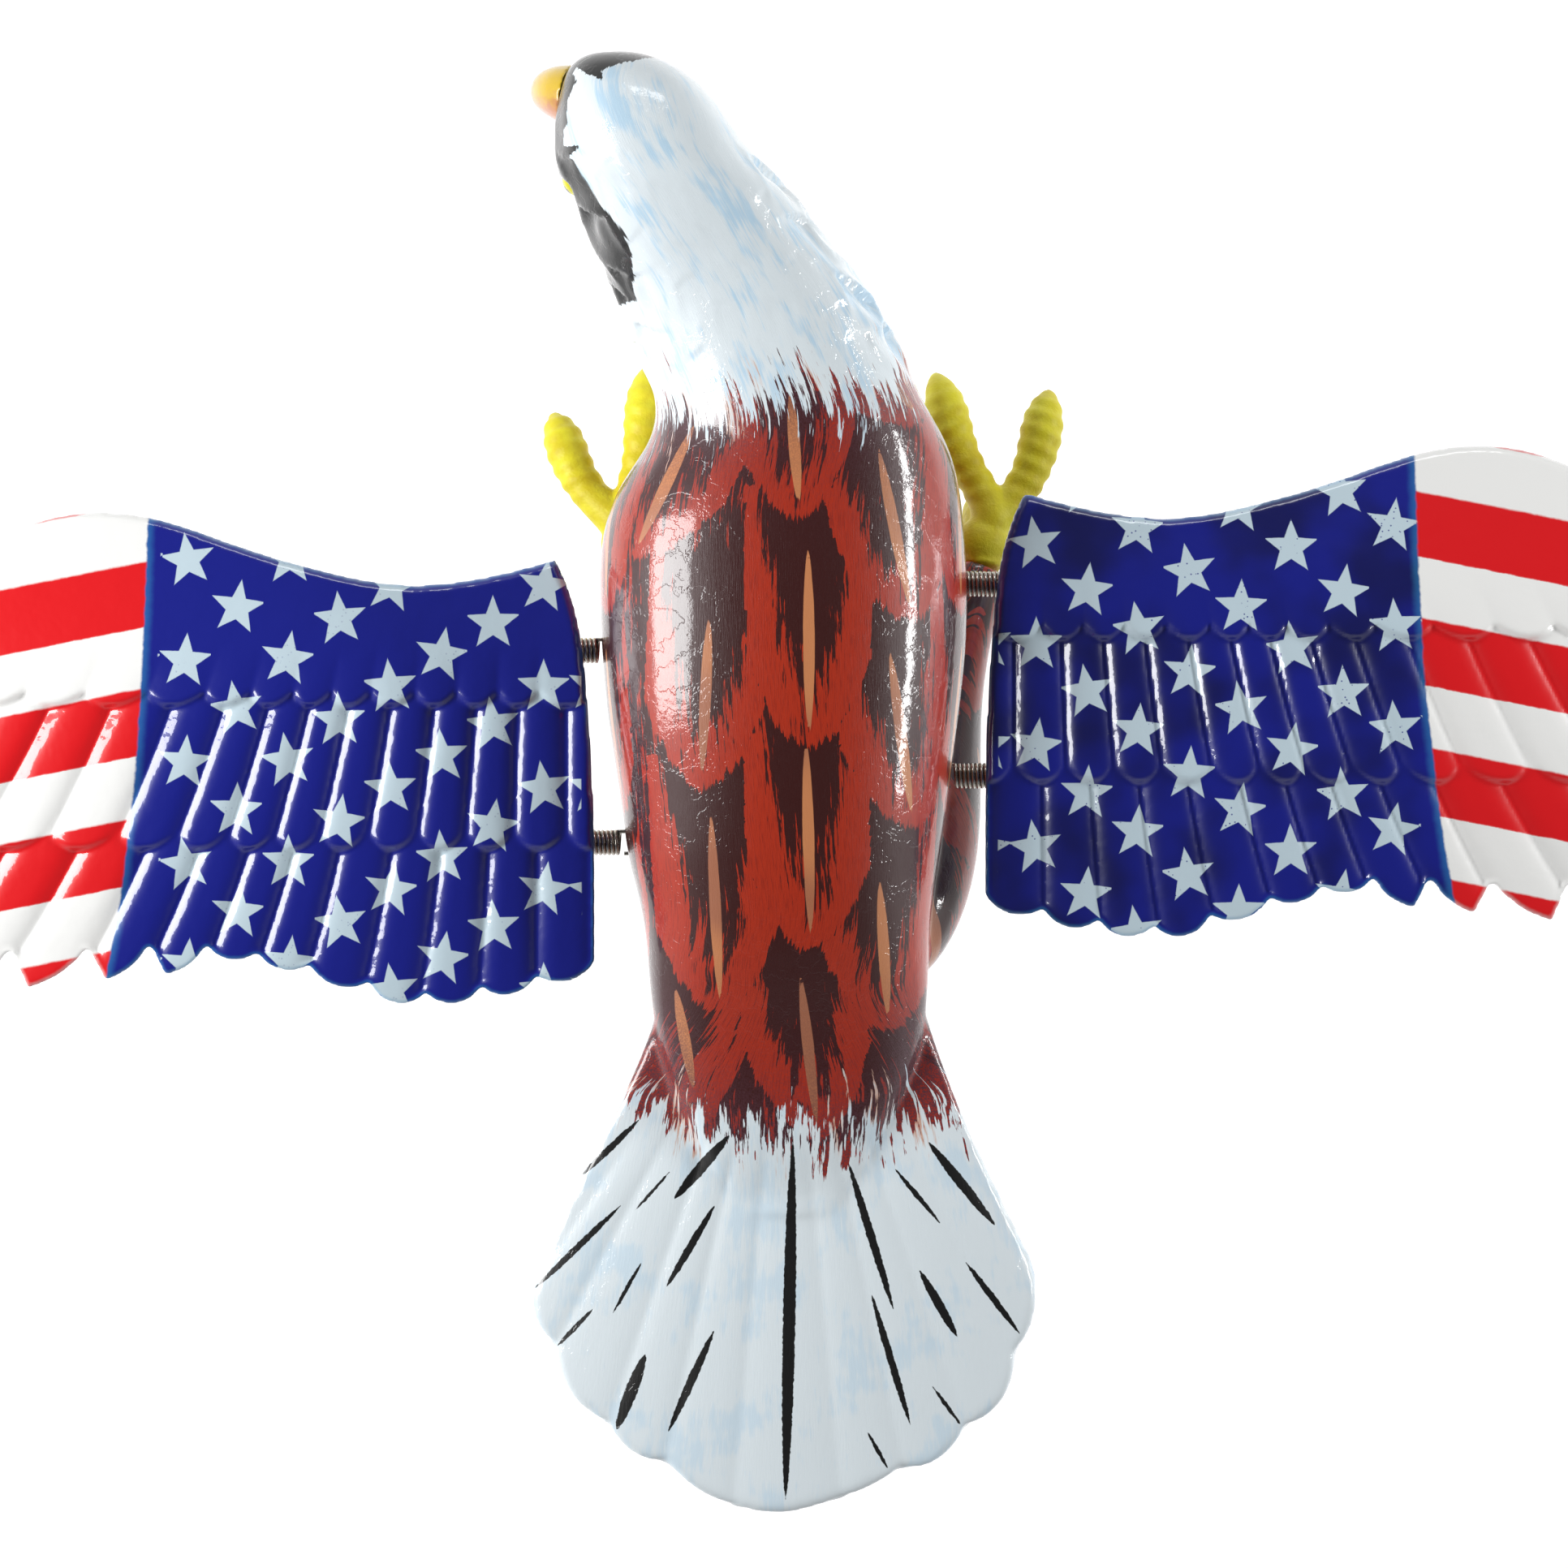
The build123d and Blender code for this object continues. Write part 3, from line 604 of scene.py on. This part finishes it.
def body_skin():
    pins = cad["spring_pins"]
    pin_points = points_of(pins.data)
    spots = set()
    for x, y, _ in pin_points:
        spots.add((round(x / 10), round(y / 10)))
    plugs = []
    for side, sign in (("left", -1), ("right", 1)):
        for end in ("front", "rear"):
            low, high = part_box(f"{side}_{end}_spring")
            middle_y = (low[1] + high[1]) / 2 / MM
            inner = (high[0] if sign < 0 else low[0]) / MM
            plugs.append(((inner + sign * 1.4, middle_y, 40.0), (6.0, 12.0, 5.0)))
    plugs.append(((0.0, 0.0, 18.0), (15.0, 15.0, 26.0)))
    for side in ("left", "right"):
        spot = Vector(eye_spots[side]).lerp(head_centre, 0.08)
        plugs.append((tuple(spot), (6.4, 6.4, 6.4)))
    parts = ["back_shell", "belly_shell", "left_thigh", "right_thigh"]
    obj = joined("body_skin", parts, plugs)
    mesh = remesh(obj, skin_voxel, 6)
    co = points_of(mesh)
    normal = normals_of(mesh)
    co[:, 1] = np.where(co[:, 1] < -150, -150 + (co[:, 1] + 150) * 1.06, co[:, 1])
    x, y, z = co.T
    sections = centre_of_sections(co)
    mid_x, mid_z, radius = sections(y)
    angle = np.arctan2(x - mid_x, z - mid_z)
    fan = 1 + np.clip(fan_start_y - y, 0, None) / fan_length
    on_tail = smoothstep(-92, -112, y)
    flatten = smoothstep(fan_start_y, fan_start_y - 30, y)
    low_z = mid_z * (1 - flatten) + 15.0 * flatten
    across = radius * np.arctan2((x - mid_x * (1 - flatten)) / fan, z - low_z)
    tail_angle = np.degrees(np.arctan2(x - tail_root[0], tail_root[1] - y))

    # relief: tail feathers, brow, eye sockets, neck tufts and the seam of the two shells
    lift = np.zeros(len(co))
    edges = np.array([-34.0, -28.0, -19.2, -12.5, -5.2, 5.2, 11.7, 19.0, 27.1, 34.0])
    place = np.clip(np.searchsorted(edges, tail_angle), 1, len(edges) - 1)
    part = (tail_angle - edges[place - 1]) / (edges[place] - edges[place - 1])
    pillow = 1 - np.abs(2 * np.clip(part, 0, 1) - 1) ** 2.6
    lift += on_tail * np.sign(normal[:, 2]) * (pillow - 0.6) * 0.6
    for side, sign in (("left", 1), ("right", -1)):
        spot = np.array(eye_spots[side])
        gap = np.linalg.norm(co - spot, axis=1)
        lift -= 1.3 * np.exp(-(gap / 5.0) ** 2)
        outward = np.array(head_left) * sign
        brow = spot + np.array([-1.0, 5.0 * sign, 6.5])
        run = np.array([-0.35, 0.9 * sign, 0.1])
        rel = co - brow
        along = rel @ run
        away = np.linalg.norm(rel - along[:, None] * run, axis=1)
        lift += 1.5 * np.exp(-(away / 3.2) ** 2 - (along / 9.0) ** 2)
    tuft_u = (angle * radius) / 11.0 + 0.35 * np.sin(y / 4.1) + 0.2 * np.sin(y / 1.9 + x)
    tuft_v = (y - 70) / 13.0 + 0.5 * (np.floor(tuft_u) % 2) + 0.25 * np.sin(angle * radius / 5.3)
    tuft = (tuft_v % 1.0) * (1 - np.abs(2 * (tuft_u % 1.0) - 1) ** 2)
    neck = smoothstep(72, 84, y) * smoothstep(132, 122, y)
    side_share = 0.08 + 0.92 * smoothstep(0.8, 1.4, np.abs(angle))
    lift += neck * side_share * (0.5 - tuft) * 3.0
    seam = np.exp(-((z - 40.0) / 0.5) ** 2) * (y > -95) * (y < 130)
    lift -= 0.22 * seam * (np.abs(normal[:, 2]) < 0.8)
    put_points(mesh, co + normal * lift[:, None])
    smooth(mesh, 1)

    # paint fields
    neck_line = neck_border_y + 0.12 * np.clip(x, -30, 30) + 2.5 * np.cos(angle * 5)
    tail_line = tail_border_y + np.where(x < 0, 9.0, 5.0) * (np.abs(x) / 36) ** 2
    white = np.maximum(y - neck_line, tail_line - y)
    wrapped = angle * radius
    side_marks = []
    for column in range(4):
        for row in range(-1, 4):
            start = 62.0 - lattice_along * (row + 0.5 * (column % 2))
            middle = first_side_column + column * lattice_across
            side_marks.append((middle, start, middle - 1.5, start - shaft_length, 1.3))
    top = (np.abs(wrapped) < first_side_column - 11) & (z > mid_z)
    top_dark, top_shaft = scales(x, y, [(*mark, 1.35) for mark in back_shafts])
    side_dark, side_shaft = scales(np.abs(wrapped), y, side_marks)
    dark = np.where(top, top_dark, side_dark)
    shaft = np.where(top, top_shaft, side_shaft)
    # purple grey: airbrushed spray paint near the white borders, plus a painted sheen on the flanks by the
    # waist, a reflection painted into the colour
    near_border = np.exp(-np.clip(-white, 0, None) / 13.0)
    flank = smoothstep(-52, -86, y) * smoothstep(18, 30, np.abs(x))
    spray_and_sheen = np.clip(0.85 * near_border + 0.8 * flank, 0, 0.95)
    blueness = 0.35 + 0.4 * smoothstep(60, 80, y)
    mirrored = co - 2 * ((co - np.array(head_centre)) @ np.array(head_left))[:, None] * np.array(head_left)
    ink = np.maximum(head_band(x, y, z), head_band(*mirrored.T))
    ink = np.where(y > 90, ink, -9.0)
    for spot in eye_spots.values():
        ink = np.maximum(ink, 5.0 - np.linalg.norm(co - np.array(spot), axis=1))
    fields = {"across": across, "along": y, "white": white, "dark": dark, "shaft": shaft,
              "spray_and_sheen": spray_and_sheen, "blueness": blueness, "ink": ink}
    for name, values in fields.items():
        attribute(mesh, name, values)
    dress(obj, painted_feathers())
    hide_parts(*parts)
    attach(obj, "body")
    return obj


# ---- wings ----------------------------------------------------------------------------------
wing_voxel = 0.65
feather_notches = np.array([44.0, 58.2, 71.0, 83.8, 96.6, 110.4, 122.4, 134.2, 147.2, 161.4, 179.4,
                            198.4, 217.0, 235.0, 262.0])
row_height = 1.45             # how far a feather's crown stands above its edges


def pillows(value, edges, power):
    """Which feather a point is in, and how near its crown: 1 at the crown, 0 at the edge."""
    place = np.clip(np.searchsorted(edges, value), 1, len(edges) - 1)
    part = np.clip((value - edges[place - 1]) / (edges[place] - edges[place - 1]), 0, 1)
    return 1 - np.abs(2 * part - 1) ** power, part


def wing_relief(s, t):
    """Height of the moulded feathers: smooth coverts, a middle row and the long flight row."""
    fan = np.clip((s - 55) / 170, 0, 1) * 0.95
    root_s = s + fan * (t + 50)
    long_row, _ = pillows(root_s, feather_notches, 3.0)
    middle_edges = (feather_notches[:-1] + feather_notches[1:]) / 2
    middle_edges = np.concatenate(([40.0], middle_edges, [275.0]))
    middle_row, middle_part = pillows(root_s, middle_edges, 3.0)
    small_row, small_part = pillows(root_s, feather_notches, 2.2)
    low = -19.5 - 4.2 * (1 - (2 * middle_part - 1) ** 2)
    high = 12.5 - 3.2 * (1 - (2 * small_part - 1) ** 2)
    flight = row_height * (long_row - 1) * smoothstep(8, -12, t)
    middle = 0.15 + 1.0 * np.clip((high - t) / (high - low), 0, 1) + row_height * (middle_row - 1)
    covert = 0.9 + 0.7 * smoothstep(36, 10, t) + 0.45 * (small_row - 1) * smoothstep(26, 12, t)
    height = flight + (middle - flight) * smoothstep(-0.7, 0.7, t - low)
    return height + (covert - height) * smoothstep(-0.9, 0.9, t - high)


def wing_piece(side):
    sign = -1.0 if side == "left" else 1.0
    obj = joined(f"{side}_feathered_wing", [f"{side}_wing"])
    mesh = remesh(obj, wing_voxel, 3)
    co = points_of(mesh)
    normal = normals_of(mesh)
    s = sign * co[:, 0] - wing_inset[side]
    t = co[:, 1] - wing_middle_y[side]
    border = np.nonzero(np.abs(normal[:, 2]) < 0.45)[0]
    tree = KDTree(len(border))
    for i in border:
        tree.insert((co[i, 0], co[i, 1], 0), int(i))
    tree.balance()
    rim = np.array([tree.find((x, y, 0))[2] for x, y, _ in co])
    attribute(mesh, "rim", rim)
    co[:, 2] += wing_relief(s, t) * smoothstep(0.0, 1.5, rim) - 0.4
    put_points(mesh, co)
    smooth(mesh, 1)
    dress(obj, wing_print(side))
    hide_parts(f"{side}_wing")
    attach(obj, f"{side}_wing")
    return obj


# ---- springs, split where the two joints of a wing meet ---------------------------------------
def spring_halves(side, end, material):
    sign = -1 if side == "left" else 1
    node = f"{side}_{end}_spring"
    low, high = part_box(node)
    flap = next(j for j in frame["joints"] if j["name"] == f"{side}_wing_flap")
    joint_x = flap["pos_m"][0]
    cut_x = joint_x + sign * 4.5 * MM
    middle = Vector(((low[0] + high[0]) / 2, (low[1] + high[1]) / 2, (low[2] + high[2]) / 2))
    for half, keep in (("inner", -sign), ("outer", sign)):
        bm = bmesh.new()
        bm.from_mesh(cad[node].data)
        geometry = bm.verts[:] + bm.edges[:] + bm.faces[:]
        plane = (cut_x, middle.y, middle.z)
        bmesh.ops.bisect_plane(bm, geom=geometry, plane_co=plane, plane_no=(keep, 0, 0),
                               clear_inner=True)
        bmesh.ops.holes_fill(bm, edges=[e for e in bm.edges if e.is_boundary])
        mesh = bpy.data.meshes.new(f"{node}_{half}")
        bm.to_mesh(mesh)
        bm.free()
        mesh.polygons.foreach_set("use_smooth", np.ones(len(mesh.polygons), bool))
        obj = bpy.data.objects.new(mesh.name, mesh)
        bpy.context.scene.collection.objects.link(obj)
        dress(obj, material)
        if half == "inner":
            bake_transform(obj)
        else:
            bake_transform(obj)
        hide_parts(node)


# ---- feet -----------------------------------------------------------------------------------
def foot_piece(side, material):
    """A soft foot with the ringed swellings of a bird's toes."""
    obj = joined(f"{side}_soft_foot", [f"{side}_foot"])
    mesh = remesh(obj, 0.5, 5)
    co = points_of(mesh)
    normal = normals_of(mesh)
    low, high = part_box(f"{side}_foot")
    ankle_y = low[1] / MM + 20
    reach = np.linalg.norm(co - np.array([(low[0] + high[0]) / 2 / MM, ankle_y, 10.0]), axis=1)
    rings = np.sin(reach * 2 * np.pi / 4.2)
    lumps = 0.2 * rings * smoothstep(10, 16, reach) * smoothstep(46, 36, reach)
    put_points(mesh, co + normal * lumps[:, None])
    smooth(mesh, 1)
    dress(obj, material)
    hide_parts(f"{side}_foot")
    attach(obj, "body")


def beak_piece():
    obj = joined("hooked_bill", ["beak"])
    remesh(obj, 0.4, 6)
    dress(obj, beak_paint())
    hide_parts("beak")
    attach(obj, "body")


# ---- stage ----------------------------------------------------------------------------------
def soft_light(name, place, aim, width, height, power):
    data = bpy.data.lights.new(name, "AREA")
    data.shape = "RECTANGLE"
    data.size = width
    data.size_y = height
    data.energy = power
    light = bpy.data.objects.new(name, data)
    light.location = place
    light.rotation_euler = (Vector(aim) - Vector(place)).to_track_quat("-Z", "Y").to_euler()
    bpy.context.scene.collection.objects.link(light)


def studio():
    scene = bpy.context.scene
    scene.view_settings.view_transform = "Standard"
    scene.view_settings.look = "None"
    world = bpy.data.worlds.new("studio")
    world.use_nodes = True
    tree = world.node_tree
    sky = tree.nodes["Background"]
    sky.inputs[0].default_value = (1.0, 1.0, 1.0, 1.0)
    way = tree.nodes.new("ShaderNodeTexCoord")
    height = tree.nodes.new("ShaderNodeSeparateXYZ")
    fade = tree.nodes.new("ShaderNodeMapRange")
    tree.links.new(way.outputs["Generated"], height.inputs[0])
    tree.links.new(height.outputs["Z"], fade.inputs["Value"])
    fade.inputs["From Min"].default_value = 0.1
    fade.inputs["From Max"].default_value = 0.70
    fade.inputs["To Min"].default_value = 0.50
    fade.inputs["To Max"].default_value = 0.07
    tree.links.new(fade.outputs[0], sky.inputs[1])
    scene.world = world
    middle = (0.0, 0.0, 0.04)
    soft_light("window_left", (-0.70, 0.04, 0.46), middle, 0.42, 0.44, 7.6)
    soft_light("strip_right", (0.80, 0.06, 0.30), middle, 0.60, 0.10, 4.6)
    soft_light("window_front", (0.10, 0.95, 0.50), middle, 0.45, 0.20, 1.6)
    p = Paint("pale_floor")
    place = p.place()
    speckle = p.noise(place, 0.02, 2.0)
    pale = p.mix(speckle, (0.90, 0.90, 0.90, 1.0), (0.93, 0.93, 0.93, 1.0))
    floor_mesh = bpy.data.meshes.new("floor")
    half = 6.0
    level = -0.30
    corners = [(-half, -half, level), (half, -half, level), (half, half, level), (-half, half, level)]
    floor_mesh.from_pydata(corners, [], [(0, 1, 2, 3)])
    floor = bpy.data.objects.new("floor", floor_mesh)
    scene.collection.objects.link(floor)
    floor_paint = p.finish(pale, 0.6)
    p.shader.inputs["Emission Color"].default_value = (1.0, 1.0, 1.0, 1.0)
    p.shader.inputs["Emission Strength"].default_value = 0.36
    floor.data.materials.append(floor_paint)
    camera_data = bpy.data.cameras.new("camera")
    camera = bpy.data.objects.new("camera", camera_data)
    camera.location = (-0.00075, -0.0162, 1.24)
    camera_data.lens = 118.5
    camera_data.sensor_width = 36.0
    scene.collection.objects.link(camera)
    scene.camera = camera


# ---- the whole bird -------------------------------------------------------------------------
studio()
body_skin()
for wing_side in ("left", "right"):
    wing_piece(wing_side)
spring_steel = metal("nickel_wire", (0.62, 0.58, 0.52, 1.0), 0.16, 1.2)
for wing_side in ("left", "right"):
    for spring_end in ("front", "rear"):
        spring_halves(wing_side, spring_end, spring_steel)
yellow = soft_yellow()
for foot_side in ("left", "right"):
    foot_piece(foot_side, yellow)
beak_piece()
for eye_side in ("left", "right"):
    dress(cad[f"{eye_side}_eye"], eye_gloss(eye_side))
zinc = metal("zinc_plate", (0.66, 0.67, 0.68, 1.0), 0.28, 2.0)
bar_plastic = moulded("bar_plastic", (0.62, 0.65, 0.68, 1.0), 0.4)
dress(cad["stake_socket"], moulded("socket_black", (0.03, 0.03, 0.032, 1.0), 0.5))
dress(cad["spring_pins"], zinc)
for wing_side in ("left", "right"):
    dress(cad[f"{wing_side}_wing_bracket"], bar_plastic)
    dress(cad[f"{wing_side}_wing_screws"], zinc)
    dress(cad[f"{wing_side}_wing_washers"], zinc)
